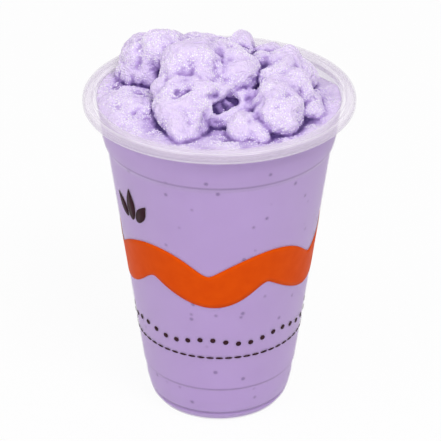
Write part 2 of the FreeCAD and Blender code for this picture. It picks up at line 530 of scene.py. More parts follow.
@dataclass(frozen=True)
class FrostedSheet:
    """Thin formed polypropylene: milky, softly glossy, and clear enough to show what is behind it, with
    painted highlight and painted shade rings round its rim.
    """

    tint: tuple = srgb(244, 235, 249)
    # The two colours below the tint are the painted highlight and the painted shade of the rim's rings.
    glint: tuple = srgb(255, 253, 255)
    painted_shade_tint: tuple = srgb(150, 126, 172)
    refraction: float = 1.49
    patches: Mottle = Mottle(0.006, 1.2)
    patch_range: tuple = (0.2, 0.8)
    roughness: tuple = (0.12, 0.23)
    cover: tuple = (0.08, 0.185)
    cover_heights: tuple = (0.1135, 0.1165)
    sheen: float = 0.55
    sheen_blend: float = 0.12
    line_cover: float = 0.38
    top_height: float = 0.1192
    side_radius: float = 0.0462
    # Rings of painted highlight and painted shade, where the rolled rim's curl turns.
    lines: tuple = (
        PaintedRimLine(True, 0.0433, 0.0003, 0.7),
        PaintedRimLine(True, 0.0442, 0.0003, 0.0, 0.3),
        PaintedRimLine(True, 0.0466, 0.0003, 0.6),
        PaintedRimLine(False, 0.1185, 0.0003, 0.0, 0.28),
        PaintedRimLine(False, 0.1173, 0.00032, 0.0, 0.55),
        PaintedRimLine(False, 0.1167, 0.0003, 0.85),
    )

    def painted_rim_lines(self, tree: Tree, axes: Outputs) -> tuple:
        """Adds the masks of the rim's painted highlight rings and painted shade rings.

        Args:
            tree: The material's tree.
            axes: The place on the object, split.

        Returns:
            The painted highlight mask and the painted shade mask.
        """
        height, radius = axes["Z"], tree.across(axes)
        on_top = tree.math("GREATER_THAN", height, self.top_height)
        on_side = tree.math("GREATER_THAN", radius, self.side_radius)
        bright, dark = 0.0, 0.0
        for line in self.lines:
            measure, allowed = (radius, on_top) if line.across else (height, on_side)
            away = tree.math("ABSOLUTE", tree.math("SUBTRACT", measure, line.place))
            ring = tree.math("MULTIPLY", tree.spread(away, 0.0, line.half_width, 1.0, 0.0), allowed)
            bright = tree.math("ADD", tree.math("MULTIPLY", ring, line.bright), bright)
            dark = tree.math("ADD", tree.math("MULTIPLY", ring, line.dark), dark)
        return bright, dark

    def material(self) -> Material:
        """Returns the finish as a material."""
        made, tree, shader = new_material("frosted_sheet")
        axes = tree.axes(tree.object_place())
        bright, dark = self.painted_rim_lines(tree, axes)
        cover = tree.spread(axes["Z"], *self.cover_heights, *self.cover)
        lined = tree.math("MULTIPLY", tree.math("ADD", bright, dark), self.line_cover)
        facing = tree.node("ShaderNodeLayerWeight", {"Blend": self.sheen_blend}).outputs["Facing"]
        grazing = tree.math("MULTIPLY", facing, self.sheen)
        # Painted light and shade: the tint is lightened by the highlight rings and darkened by the
        # shade rings.
        colour = tree.mix(dark, tree.mix(bright, self.tint, self.glint), self.painted_shade_tint)
        inputs = {
            "Base Color": colour,
            "Roughness": tree.spread(self.patches.mask(tree), *self.patch_range, *self.roughness),
            "IOR": self.refraction,
            "Alpha": tree.math("ADD", tree.math("ADD", cover, lined), grazing, clamp=True),
        }
        tree.fill(shader, inputs)
        return made


@dataclass(frozen=True)
class FrozenSlush:
    """Crushed ice in taro milk, open to the air: painted light on its ridges and painted shade, deep
    violet, in its clefts and hollows.
    """

    # Painted light and shade: ridge, flank, shade and cleft are picked by how far a point stands out of
    # its near and wider surroundings, so the clefts and hollows are painted dark.
    ridge: tuple = srgb(230, 213, 248)
    flank: tuple = srgb(212, 191, 238)
    shade: tuple = srgb(170, 140, 206)
    cleft: tuple = srgb(76, 52, 114)
    # White ice crystals with a painted glint on them, shown only where the heap stands out.
    crystal_glint: tuple = srgb(255, 253, 255)
    ridge_range: tuple = (0.86, 1.3)
    shade_range: tuple = (0.66, 1.0)
    cleft_range: tuple = (0.38, 0.76)
    relief_share: float = 0.55
    relief_rest: float = 0.24
    patches: Mottle = Mottle(0.006, 1.6)
    patch_share: float = 0.22
    icy_patches: Mottle = Mottle(0.009, 3.0)
    icy_range: tuple = (0.42, 0.58)
    icy_share: tuple = (0.04, 0.95)
    icy_heights: tuple = (0.72, 0.95)
    grain_size: float = 0.00075
    sparkle: float = 0.5
    roughness: tuple = (0.46, 0.16)
    refraction: float = 1.33
    scatter: float = 0.12
    scatter_depth: float = 0.0012
    grain_strength: float = 1.0
    grain_depth: float = 0.0006

    def material(self) -> Material:
        """Returns the finish as a material."""
        made, tree, shader = new_material("frozen_slush")
        relief = tree.node("ShaderNodeAttribute", attribute_name=RELIEF).outputs["Fac"]
        hollow = tree.node("ShaderNodeAttribute", attribute_name=HOLLOW).outputs["Fac"]
        inputs = {"Grain Size": self.grain_size, "Sparkle": self.sparkle}
        grain = tree.node("ShaderNodeGroup", inputs, node_tree=GrainGroup().build()).outputs
        patchy = tree.math("SUBTRACT", self.patches.mask(tree), 0.5)
        patchy = tree.math("MULTIPLY", patchy, self.patch_share)
        near = tree.math("ADD", tree.math("MULTIPLY", relief, self.relief_share), self.relief_rest)
        # Painted shade: the colour darkens as a point sinks below its surroundings, and lightens on
        # ridges.
        height = tree.math("ADD", near, hollow, patchy)
        colour = tree.mix(tree.spread(height, *self.ridge_range), self.flank, self.ridge)
        colour = tree.mix(tree.spread(height, *self.shade_range, 1.0, 0.0), colour, self.shade)
        colour = tree.mix(tree.spread(height, *self.cleft_range, 1.0, 0.0), colour, self.cleft)
        # White ice crystals with a painted glint, kept off the painted shade of the clefts.
        coarse = tree.spread(self.icy_patches.mask(tree), *self.icy_range, *self.icy_share)
        open_ice = tree.math("MULTIPLY", coarse, tree.spread(height, *self.icy_heights))
        icy_glint = tree.math("MULTIPLY", grain["Crystals"], open_ice)
        bump = {"Strength": self.grain_strength, "Distance": self.grain_depth}
        bump |= {"Height": grain["Height"]}
        inputs = {
            "Base Color": tree.mix(icy_glint, colour, self.crystal_glint),
            "Roughness": tree.spread(icy_glint, 0.0, 1.0, *self.roughness),
            "IOR": self.refraction,
            "Normal": tree.read("ShaderNodeBump", bump),
            "Subsurface Weight": self.scatter,
            "Subsurface Radius": MILK_SCATTER,
            "Subsurface Scale": self.scatter_depth,
        }
        tree.fill(shader, inputs)
        return made


@dataclass(frozen=True)
class PressedSlush:
    """The slush where it lies flat against the cup's wall: even lavender with a few small bubbles, and
    painted shade lines at the wall's steps and foot groove.
    """

    body: tuple = srgb(178, 146, 206)
    pale: tuple = srgb(186, 155, 214)
    bubble: tuple = srgb(112, 80, 144)
    # Painted shade along the two stacking steps and the foot's groove.
    step_shade: tuple = srgb(128, 96, 158)
    patches: Mottle = Mottle(0.014, 1.5)
    bubble_scale: float = 230.0
    bubble_rarity: float = 0.68
    bubble_range: tuple = (0.1, 0.24)
    bubble_share: float = 0.75
    step_shade_heights: tuple = (0.1031, 0.0156, 0.0042)
    step_shade_width: float = 0.0008
    step_shade_share: float = 0.8
    roughness: tuple = (0.5, 0.65)
    scatter: float = 0.15
    scatter_depth: float = 0.002

    def material(self) -> Material:
        """Returns the finish as a material."""
        made, tree, shader = new_material("pressed_slush")
        patches = self.patches.mask(tree)
        place = tree.object_place()
        distance, drawn = tree.cells(place, self.bubble_scale)
        rare = tree.math("GREATER_THAN", drawn, self.bubble_rarity)
        spot = tree.math("MULTIPLY", rare, tree.spread(distance, *self.bubble_range, 1.0, 0.0))
        colour = tree.mix(patches, self.body, self.pale)
        colour = tree.mix(tree.math("MULTIPLY", spot, self.bubble_share), colour, self.bubble)
        # Painted shade lines at the heights of the steps and the groove.
        level = tree.axes(place)["Z"]
        for height in self.step_shade_heights:
            away = tree.math("ABSOLUTE", tree.math("SUBTRACT", level, height))
            share = tree.spread(away, 0.0, self.step_shade_width, self.step_shade_share, 0.0)
            colour = tree.mix(share, colour, self.step_shade)
        inputs = {
            "Base Color": colour,
            "Roughness": tree.spread(patches, 0.0, 1.0, *self.roughness),
            "Subsurface Weight": self.scatter,
            "Subsurface Radius": MILK_SCATTER,
            "Subsurface Scale": self.scatter_depth,
        }
        tree.fill(shader, inputs)
        return made


@dataclass(frozen=True)
class PrintedInk:
    """Screen ink on the sheet: flat, even and slightly satin."""

    ink: Ink
    colour: tuple
    worn: tuple
    patches: Mottle = Mottle(0.004, 1.4)
    roughness: tuple = (0.42, 0.56)
    gloss: float = 0.05

    def material(self) -> Material:
        """Returns the finish as a material."""
        made, tree, shader = new_material(f"ink_{self.ink.value}")
        patches = self.patches.mask(tree)
        inputs = {
            "Base Color": tree.mix(patches, self.colour, self.worn),
            "Roughness": tree.spread(patches, 0.0, 1.0, *self.roughness),
            "Specular IOR Level": self.gloss,
        }
        tree.fill(shader, inputs)
        return made


@dataclass(frozen=True)
class ClearIce:
    """Loose ice crystals: bright, wet and glinting."""

    pale: tuple = srgb(254, 251, 255)
    violet: tuple = srgb(236, 222, 250)
    patches: Mottle = Mottle(0.0015, 2.0)
    roughness: tuple = (0.12, 0.3)
    refraction: float = 1.31

    def material(self) -> Material:
        """Returns the finish as a material."""
        made, tree, shader = new_material("clear_ice")
        patches = self.patches.mask(tree)
        inputs = {
            "Base Color": tree.mix(patches, self.violet, self.pale),
            "Roughness": tree.spread(patches, 0.0, 1.0, *self.roughness),
            "IOR": self.refraction,
        }
        tree.fill(shader, inputs)
        return made


# ----- The cup's sheet -----


@dataclass
class CupSheet:
    """The cup: one formed sheet, turned about its axis.

    Millimetres. Each corner of the wall is a radius, a height and a fillet.
    """

    sheet: float = 0.5
    height: float = 120.0
    rim_radius: float = 47.48
    rim_drop: float = 4.3
    rim_tuck: float = 2.6
    rim_tuck_rise: float = 1.4
    mouth_radius: float = 42.9
    base_rise: float = 3.0
    base_panel_radius: float = 18.6
    foot_inner_radius: float = 19.8
    foot_outer_radius: float = 22.4
    heel: tuple = (24.75, 3.3, 0.7)
    groove: tuple = (24.35, 4.2, 0.3)
    wall_foot: tuple = (25.35, 5.2, 0.8)
    wall_bend: tuple = (26.35, 9.5, 9.0)
    lower_step: tuple = (27.0, 15.2, 0.2)
    lower_step_top: tuple = (27.45, 15.8, 0.6)
    upper_step: tuple = (39.35, 101.2, 0.5)
    upper_step_top: tuple = (40.45, 103.2, 1.0)
    shoulder: tuple = (41.1, 105.8, 5.0)
    least_fillet: float = 0.02
    flat_margin: float = 0.12
    segments: int = 288
    arc_points: int = 6
    slush_overlap: float = 0.2
    slush_lip_drop: float = 1.2
    rim_corners: int = 5
    name: str = "cup_sheet"

    def corners(self) -> list[tuple[float, float, float]]:
        """Returns the outer face's corners: radius, height and fillet."""
        face = self.rim_radius - self.sheet
        underside = self.height - self.rim_drop + self.sheet
        tuck = face - self.rim_tuck
        return [
            (0.0, self.base_rise, 0.0),
            (self.base_panel_radius, self.base_rise, 1.0),
            (self.foot_inner_radius, 0.0, 0.8),
            (self.foot_outer_radius, 0.0, 2.2),
            self.heel,
            self.groove,
            self.wall_foot,
            self.wall_bend,
            self.lower_step,
            self.lower_step_top,
            self.upper_step,
            self.upper_step_top,
            self.shoulder,
            (self.mouth_radius, self.height - self.sheet, 1.0),
            (face, self.height - self.sheet, 1.0),
            (face, underside, 1.2),
            (tuck, underside, 0.5),
            (tuck, underside + self.rim_tuck_rise, 0.0),
        ]

    def offset(self, amount: float) -> list[tuple[float, float, float]]:
        """Moves the outer path towards the drink.

        Args:
            amount: How far, in millimetres.

        Returns:
            The moved corners, with fillets to match.
        """
        corners = self.corners()
        places = [Vector((radius, height)) for radius, height, _ in corners]
        last = len(places) - 1
        moved = []
        for index, (_, _, fillet) in enumerate(corners):
            before = (places[index] - places[index - 1]).normalized() if index else None
            after = (places[index + 1] - places[index]).normalized() if index < last else before
            before = before or after
            left_before = Vector((-before.y, before.x))
            left_after = Vector((-after.y, after.x))
            half_way = (left_before + left_after).normalized()
            place = places[index] + half_way * (amount / half_way.dot(left_before))
            turn = before.x * after.y - before.y * after.x
            if 0 < index < last:
                fillet = fillet - amount if turn > 0 else fillet + amount
            moved.append((place.x, place.y, fillet))
        return moved

    def rounded(self, corners: list[tuple[float, float, float]]) -> list[tuple[float, float]]:
        """Rounds a path's corners.

        Args:
            corners: Radius, height and fillet of each corner.

        Returns:
            Points along the path, with two more on every straight run, so that it shades flat.
        """
        places = [Vector((radius, height)) for radius, height, _ in corners]
        path = [tuple(places[0])]
        for index in range(1, len(places) - 1):
            back = (places[index - 1] - places[index]).normalized()
            ahead = (places[index + 1] - places[index]).normalized()
            half_angle = back.angle(ahead) / 2
            radius = max(corners[index][2], self.least_fillet)
            reach = radius / math.tan(half_angle)
            centre = places[index] + (back + ahead).normalized() * (radius / math.sin(half_angle))
            start = places[index] + back * reach - centre
            end = places[index] + ahead * reach - centre
            sweep = math.pi - 2 * half_angle
            side = 1.0 if start.x * end.y - start.y * end.x > 0 else -1.0
            path.append(tuple(centre + start + back * self.flat_margin))
            for step in range(self.arc_points + 1):
                angle = side * sweep * step / self.arc_points
                cosine, sine = math.cos(angle), math.sin(angle)
                turned = Vector((start.x * cosine - start.y * sine, start.x * sine + start.y * cosine))
                path.append(tuple(centre + turned))
            path.append(tuple(centre + end + ahead * self.flat_margin))
        path.append(tuple(places[-1]))
        return path

    def section(self) -> list[tuple[float, float]]:
        """Returns the closed section of the sheet, from the axis out and back to it."""
        return self.rounded(self.corners()) + self.rounded(self.offset(self.sheet))[::-1]

    def wall_radius(self, height: float) -> float:
        """Returns the outer face's radius at a height between the two stacking steps."""
        low, high = self.lower_step_top, self.upper_step
        share = (height - low[1]) / (high[1] - low[1])
        return low[0] + share * (high[0] - low[0])

    def room_section(self, top: float) -> list[tuple[float, float]]:
        """Returns the section of the space that slush may fill, reaching a little into the wall.

        Args:
            top: How high the space goes, in millimetres.

        Returns:
            Points from the axis at the base to the axis at the top.
        """
        corners = self.offset(self.sheet - self.slush_overlap)
        wall = [corner for corner in corners[: -self.rim_corners] if corner[0] > 0]
        low, high = wall[-1], corners[-self.rim_corners]
        level = self.height - self.slush_lip_drop
        share = (level - low[1]) / (high[1] - low[1])
        lip = (low[0] + share * (high[0] - low[0]), level, 0.0)
        path = self.rounded([(0.0, corners[0][1], 0.0)] + wall + [lip])
        return path + [(lip[0] + 1.0, top), (0.0, top)]

    def turned(self, name: str, section: Sequence[tuple[float, float]]) -> Piece:
        """Turns a section about the axis into a closed mesh.

        Args:
            name: The object's name.
            section: Radius and height of each point, in millimetres, the first and last on the axis.

        Returns:
            The object.
        """
        vertices, rings = [], []
        for radius, height in section:
            if radius < SAME_PLACE:
                rings.append([len(vertices)])
                vertices.append((0.0, 0.0, height * MM))
                continue
            rings.append(list(range(len(vertices), len(vertices) + self.segments)))
            out = radius * MM
            for step in range(self.segments):
                angle = math.tau * step / self.segments
                vertices.append((out * math.cos(angle), out * math.sin(angle), height * MM))
        faces = []
        for ring, following in zip(rings, rings[1:]):
            for step in range(self.segments):
                onward = (step + 1) % self.segments
                if len(ring) == 1 and len(following) == 1:
                    continue
                if len(ring) == 1:
                    faces.append((ring[0], following[onward], following[step]))
                elif len(following) == 1:
                    faces.append((ring[step], ring[onward], following[0]))
                else:
                    faces.append((ring[step], ring[onward], following[onward], following[step]))
        return mesh_object(name, vertices, faces)

    def build(self) -> Piece:
        """Builds and dresses the sheet."""
        piece = self.turned(self.name, self.section())
        dress(piece, Slot.CUP, FrostedSheet().material())
        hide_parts("cup")
        return piece

# ----- The print on the wall -----


@dataclass
class RowTree:
    """Geometry Nodes that repeat a printed motif round the cup on a gentle wave."""

    name: str = "printed_row"

    def build(self) -> NodeTree:
        """Builds the tree."""
        made, given, result = geometry_tree(
            self.name,
            {
                "Count": 30,
                "First": 0.0,
                "Swing": 0.0,
                "Waves": 7.0,
                "Phase": 0.0,
                "Slope": 0.1393,
                "Material": Plug.MATERIAL,
            },
        )
        points = made.read("GeometryNodePoints", {"Count": given["Count"]})
        step = made.math("DIVIDE", math.tau, given["Count"])
        turn = made.math("MULTIPLY", made.read("GeometryNodeInputIndex"), step)
        turn = made.math("ADD", given["First"], turn)
        wave = made.math("ADD", made.math("MULTIPLY", turn, given["Waves"]), given["Phase"])
        lift = made.math("MULTIPLY", made.math("SINE", wave), given["Swing"])
        out = made.math("MULTIPLY", lift, given["Slope"])
        along_x = made.math("MULTIPLY", out, made.math("COSINE", turn))
        along_y = made.math("MULTIPLY", out, made.math("SINE", turn))
        shift = made.read("ShaderNodeCombineXYZ", {"X": along_x, "Y": along_y, "Z": lift})
        spin = made.read("ShaderNodeCombineXYZ", {"Z": turn})
        place = made.read("GeometryNodeSetPosition", {"Geometry": points, "Position": shift})
        inputs = {"Points": place, "Instance": given["Geometry"], "Rotation": spin}
        made.fill(result, {0: made.copies(inputs, given["Material"])})
        return made.tree


@dataclass(frozen=True)
class Motif:
    """A small printed drop or dash. Millimetres and degrees."""

    across: float
    tall: float
    height: float
    aside: float = 0.0
    lean: float = 0.0
    point: float = 0.0
    sharpness: float = 1.5

    def outline(self, steps: int) -> list[tuple[float, float]]:
        """Returns its edge as distances along the wall and up it, from its own middle.

        Args:
            steps: How many points the edge has.
        """
        lean = math.radians(self.lean)
        edge = []
        for step in range(steps):
            angle = math.tau * step / steps
            narrow = 1 - self.point * max(0.0, math.sin(angle)) ** self.sharpness
            along = self.across / 2 * math.cos(angle) * narrow
            up = self.tall / 2 * math.sin(angle)
            turned_along = along * math.cos(lean) + up * math.sin(lean)
            turned_up = up * math.cos(lean) - along * math.sin(lean)
            edge.append((turned_along + self.aside, turned_up))
        return edge


@dataclass(frozen=True)
class Row:
    """Motifs that are printed together, a number of times round the cup."""

    name: str
    motifs: tuple
    count: int
    first: float = 0.0
    swing: float = 0.0
    phase: float = 0.0


@dataclass
class CupPrint:
    """An orange ribbon in waves round the cup, with rows of dark drops and dashes. Millimetres."""

    cup: CupSheet
    middle: float = 63.5
    swing: float = 4.4
    depth: float = 14.0
    swell: float = 0.8
    swell_phase: float = 0.7
    waves: int = 5
    phase: float = 0.5
    ink_lift: float = 0.06
    ink_sink: float = 0.08
    steps: int = 840
    ribbon_rows: int = 8
    edge_steps: int = 20
    orange: PrintedInk = PrintedInk(Ink.ORANGE, srgb(226, 82, 0), srgb(216, 72, 0))
    dark: PrintedInk = PrintedInk(Ink.DARK, srgb(66, 38, 48), srgb(50, 28, 36))
    rows: tuple = (
        Row("print_dots", (Motif(1.9, 1.9, 37.0),), 42, swing=1.0, phase=0.9),
        Row("print_dashes", (Motif(2.7, 0.8, 30.2),), 56),
        Row(
            "print_sprigs",
            (
                Motif(4.2, 9.6, 85.5, -5.4, -34.0, 0.75),
                Motif(4.8, 12.6, 87.5, 0.0, 0.0, 0.75),
                Motif(4.2, 9.6, 85.5, 5.4, 34.0, 0.75),
            ),
            2,
            first=math.radians(-145),
        ),
    )

    def place(self, angle: float, height: float, lift: float) -> tuple[float, float, float]:
        """Returns a point on or near the wall, in metres.

        Args:
            angle: The angle round the cup, in radians.
            height: The height.
            lift: How far it stands out of the wall's face.
        """
        radius = (self.cup.wall_radius(height) + lift) * MM
        return (radius * math.cos(angle), radius * math.sin(angle), height * MM)

    def ribbon(self, name: str) -> Piece:
        """Makes the wavy ribbon as a closed shell.

        Args:
            name: The piece's name.

        Returns:
            The object.
        """
        middle_radius = self.cup.wall_radius(self.middle)
        rows = self.ribbon_rows
        vertices = []
        for step in range(self.steps):
            angle = math.tau * step / self.steps
            wave = self.waves * angle + self.phase
            slope = self.swing * self.waves * math.cos(wave) / middle_radius
            length = math.hypot(1.0, slope)
            half = (self.depth + self.swell * math.cos(2 * wave + self.swell_phase)) / 2
            edge = []
            for row in range(rows + 1):
                away = half * (2 * row / rows - 1)
                turn = angle - away * slope / length / middle_radius
                edge.append((turn, self.middle + self.swing * math.sin(wave) + away / length))
            vertices += [self.place(turn, height, self.ink_lift) for turn, height in edge]
            vertices += [self.place(turn, height, -self.ink_sink) for turn, height in reversed(edge)]
        around = 2 * (rows + 1)
        faces = []
        for step in range(self.steps):
            here, there = step * around, ((step + 1) % self.steps) * around
            for index in range(around):
                onward = (index + 1) % around
                faces.append((here + index, there + index, there + onward, here + onward))
        return mesh_object(name, vertices, faces)

    def stamp(self, row: Row) -> Piece:
        """Makes one copy of a row's motifs as closed shells on the wall.

        Args:
            row: The row.

        Returns:
            The object, at the angle 0.
        """
        vertices, faces = [], []
        for motif in row.motifs:
            radius = self.cup.wall_radius(motif.height)
            edge = [(along / radius, motif.height + up) for along, up in motif.outline(self.edge_steps)]
            start = len(vertices)
            for lift in (self.ink_lift, -self.ink_sink):
                vertices.append(self.place(motif.aside / radius, motif.height, lift))
                vertices += [self.place(angle, height, lift) for angle, height in edge]
            under = start + self.edge_steps + 1
            for step in range(self.edge_steps):
                here, onward = 1 + step, 1 + (step + 1) % self.edge_steps
                faces.append((start, start + here, start + onward))
                faces.append((under, under + onward, under + here))
                faces.append((start + here, under + here, under + onward, start + onward))
        return mesh_object(row.name, vertices, faces)

    def build(self) -> list[Piece]:
        """Builds and dresses the print."""
        orange, dark = self.orange.material(), self.dark.material()
        ribbon = self.ribbon("print_ribbon")
        dress(ribbon, Slot.CUP, orange)
        pieces = [ribbon]
        tree = RowTree().build()
        for row in self.rows:
            inputs = {
                "Count": row.count,
                "First": row.first,
                "Swing": row.swing * MM,
                "Phase": row.phase,
                "Material": dark,
            }
            piece = run_tree(self.stamp(row), tree, row.name, inputs)
            dress(piece, Slot.CUP, dark)
            pieces.append(piece)
        return pieces

# ----- The slush and its heap -----


@dataclass(frozen=True)
class Pit:
    """A hollow pressed into the heap: its place, its reach and its depth, in millimetres."""

    place: tuple
    reach: float
    depth: float


@dataclass(frozen=True)
class ReliefTree:
    """Geometry Nodes that rough up the heap: broad crags, sharp ridges, fine grains and a few pits."""

    name: str = "icy_relief"
    noise_gain: float = 3.2
    crag_noise: tuple = (2.0, 0.4)
    ridge_noise: tuple = (3.0, 0.6)
    grain_noise: tuple = (2.0, 0.0)
    patch_noise: tuple = (1.0, 0.0)
    ridge_middle: float = 0.4
    patch_range: tuple = (-0.4, 0.3)
    patch_share: tuple = (0.2, 1.3)
    pits: tuple = (
        Pit((4.6, -10.8, 122.9), 4.1, 3.6),
        Pit((1.6, -12.8, 121.8), 3.5, 3.6),
        Pit((-0.8, -14.6, 121.0), 3.2, 3.0),
        Pit((0.4, -19.6, 119.0), 4.2, 3.0),
        Pit((-22.8, 4.6, 126.6), 5.0, 1.5),
        Pit((-3.4, -20.6, 121.2), 5.2, 2.1),
        Pit((-4.2, -25.2, 120.0), 4.8, 1.7),
        Pit((-20.0, -25.4, 121.4), 5.2, 2.0),
    )

    def centred(self, made: Tree, size: Socket, layers: tuple) -> Socket:
        """Adds a noise that runs from about -1 to 1.

        Args:
            made: The tree.
            size: The size of its features, in metres.
            layers: How many finer layers it has, and how much it is distorted.

        Returns:
            The noise's value.
        """
        noise = made.noise(made.read("GeometryNodeInputPosition"), size, *layers)
        return made.math("MULTIPLY", made.math("SUBTRACT", noise, 0.5), self.noise_gain)

    def build(self) -> NodeTree:
        """Builds the tree."""
        made, given, result = geometry_tree(
            self.name,
            {
                "Crag Size": 0.012,
                "Crag Height": 0.0012,
                "Ridge Size": 0.0085,
                "Ridge Height": 0.0016,
                "Grain Size": 0.0011,
                "Grain Height": 0.0003,
                "Patch Size": 0.009,
                "Level": 0.1168,
                "Rise": 0.004,
                "Calm": 0.3,
            },
        )
        place = made.read("GeometryNodeInputPosition")
        crag = self.centred(made, given["Crag Size"], self.crag_noise)
        crag = made.math("MULTIPLY", crag, given["Crag Height"])
        ridge = made.math("ABSOLUTE", self.centred(made, given["Ridge Size"], self.ridge_noise))
        ridge = made.math("SUBTRACT", self.ridge_middle, ridge)
        ridge = made.math("MULTIPLY", ridge, given["Ridge Height"])
        patch = self.centred(made, given["Patch Size"], self.patch_noise)
        patch = made.spread(patch, *self.patch_range, *self.patch_share)
        grain = self.centred(made, given["Grain Size"], self.grain_noise)
        grain = made.math("MULTIPLY", grain, given["Grain Height"], patch)
        high = made.math("ADD", given["Level"], given["Rise"])
        high = made.spread(made.axes(place)["Z"], given["Level"], high, given["Calm"], 1.0)
        rough = made.math("MULTIPLY", made.math("ADD", crag, ridge), high)
        total = made.math("ADD", rough, grain)
        for pit in self.pits:
            away = made.vector("DISTANCE", place, tuple(value * MM for value in pit.place))["Value"]
            sunk = made.spread(away, 0.0, pit.reach * MM, pit.depth * MM, 0.0, curve="SMOOTHSTEP")
            total = made.math("SUBTRACT", total, sunk)
        inputs = {0: made.read("GeometryNodeInputNormal"), "Scale": total}
        push = made.read("ShaderNodeVectorMath", inputs, operation="SCALE")
        inputs = {"Geometry": given["Geometry"], "Offset": push}
        made.fill(result, {0: made.read("GeometryNodeSetPosition", inputs)})
        return made.tree


@dataclass(frozen=True)
class Mass:
    """One frozen mass of the heap, from one node or more, and how far its clefts fill, in metres."""

    nodes: tuple
    melt: float


@dataclass
class Slush:
    """The slush that fills the cup, with the frozen masses of its heap seated in it.

    Metres, but for the block's foot and overlap and the room's top, which are in millimetres.
    """

    cup: CupSheet
    voxel: float = 0.00042
    spill: float = 1.07
    cut_height: float = 0.106
    brim: float = 0.1172
    block_radius: float = 0.046
    block_foot: float = 1.0
    block_overlap: float = 1.2
    room_top: float = 150.0
    soften_passes: int = 3
    soften_share: float = 0.5
    wall_reach: float = 0.0405
    wall_facing: float = 0.9
    name: str = "slush_heap"
    masses: tuple = (
        Mass(("lump_left",), 0.0026),
        Mass(("lump_centre", "lump_tongue"), 0.0036),
        Mass(("lump_right",), 0.003),
        Mass(("lump_middle",), 0.0),
        Mass(("lump_front",), 0.0),
        Mass(("lump_side",), 0.0),
    )

    def fineness(self) -> float:
        """Returns the voxel size in use, in metres."""
        return self.voxel * 1

    def copied(self, node: str, spill: float) -> Skin:
        """Copies a solid's mesh, merged.

        Args:
            node: The node's name.
            spill: How many times wider the copy is.

        Returns:
            The copy.
        """
        body = bmesh.new()
        body.from_mesh(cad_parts[node].data)
        bmesh.ops.remove_doubles(body, verts=body.verts, dist=SAME_PLACE)
        bmesh.ops.recalc_face_normals(body, faces=body.faces)
        for vertex in body.verts:
            vertex.co.x *= spill
            vertex.co.y *= spill
        return body

    def top(self) -> Skin:
        """Returns the upper part of the slush, spread past the wall and closed underneath."""
        body = self.copied("slush", self.spill)
        bmesh.ops.bisect_plane(
            body,
            geom=body.verts[:] + body.edges[:] + body.faces[:],
            plane_co=(0, 0, self.cut_height),
            plane_no=(0, 0, -1),
            clear_outer=True,
        )
        edges = [edge for edge in body.edges if edge.is_boundary]
        bmesh.ops.holes_fill(body, edges=edges, sides=0)
        return body

    def gathered(self, name: str, bodies: Sequence[Skin]) -> Piece:
        """Puts several closed skins into one object.

        Args:
            name: The object's name.
            bodies: The skins, which are freed.

        Returns:
            The object.
        """
        whole = bmesh.new()
        for body in bodies:
            part = bpy.data.meshes.new("part")
            body.to_mesh(part)
            body.free()
            whole.from_mesh(part)
            bpy.data.meshes.remove(part)
        mesh = bpy.data.meshes.new(name)
        whole.to_mesh(mesh)
        whole.free()
        return placed(name, mesh)

    def melt(self, piece: Piece) -> None:
        """Adds a modifier that makes one skin of a piece's overlapping skins."""
        modifier = piece.modifiers.new("melt", "REMESH")
        modifier.mode = "VOXEL"
        modifier.voxel_size = self.fineness()

    def remeshed(self, piece: Piece, *shifts: float) -> Piece:
        """Melts a piece's skins together, then moves its face in or out and melts it again, in turn.

        Args:
            piece: The piece, which is replaced.
            shifts: How far its face moves each time, in metres.

        Returns:
            The melted piece.
        """
        self.melt(piece)
        for shift in shifts:
            move = piece.modifiers.new("shift", "DISPLACE")
            move.strength = shift
            move.mid_level = 0.0
            self.melt(piece)
        return baked(piece, piece.name)

    def melted(self, mass: Mass) -> Skin:
        """Returns one mass as a single skin, with the clefts between its lumps partly filled."""
        piece = self.gathered("mass", [self.copied(node, 1.0) for node in mass.nodes])
        shifts = (mass.melt, -mass.melt) if mass.melt else ()
        piece = self.remeshed(piece, *shifts)
        body = bmesh.new()
        body.from_mesh(piece.data)
        bpy.data.objects.remove(piece)
        return body

    def fused(self) -> Piece:
        """Returns the top and all masses as one roughened skin."""
        made = self.gathered("fused", [self.top()] + [self.melted(mass) for mass in self.masses])
        made = self.remeshed(made)
        smooth = made.modifiers.new("soften", "SMOOTH")
        smooth.factor = self.soften_share
        smooth.iterations = self.soften_passes
        return self.remeshed(run_tree(made, ReliefTree().build(), "fused"))

    def cut(self, piece: Piece, tool: Piece, operation: str) -> Piece:
        """Joins or trims a closed mesh with another, which is removed.

        Args:
            piece: The mesh to change.
            tool: The other mesh.
            operation: UNION or INTERSECT.

        Returns:
            The result.
        """
        modifier = piece.modifiers.new("cut", "BOOLEAN")
        modifier.operation = operation
        modifier.solver = "MANIFOLD"
        modifier.object = tool
        made = baked(piece, piece.name)
        bpy.data.objects.remove(tool)
        return made

    def block(self) -> Piece:
        """Returns a plain block under the top, wider than the cup."""
        radius, foot = self.block_radius / MM, self.block_foot
        top = self.cut_height / MM + self.block_overlap
        return self.cup.turned("block", [(0, foot), (radius, foot), (radius, top), (0, top)])

    def build(self) -> Piece:
        """Builds and dresses the slush."""
        joined = self.cut(self.fused(), self.block(), "UNION")
        room = self.cup.turned("room", self.cup.room_section(self.room_top))
        piece = self.cut(joined, room, "INTERSECT")
        piece = run_tree(piece, ReadingTree().build(), self.name)
        self.hold_under(piece, CAD_BOX[1][2])
        piece.data.shade_smooth()
        dress(piece, Slot.SLUSH, FrozenSlush().material(), PressedSlush().material())
        self.sort_faces(piece)
        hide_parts("slush", *(node for mass in self.masses for node in mass.nodes))
        return piece

    def hold_under(self, piece: Piece, top: float) -> None:
        """Keeps the heap's highest grains under the model's top.

        Args:
            piece: The slush.
            top: The greatest height, in metres.
        """
        for vertex in piece.data.vertices:
            vertex.co.z = min(vertex.co.z, top)

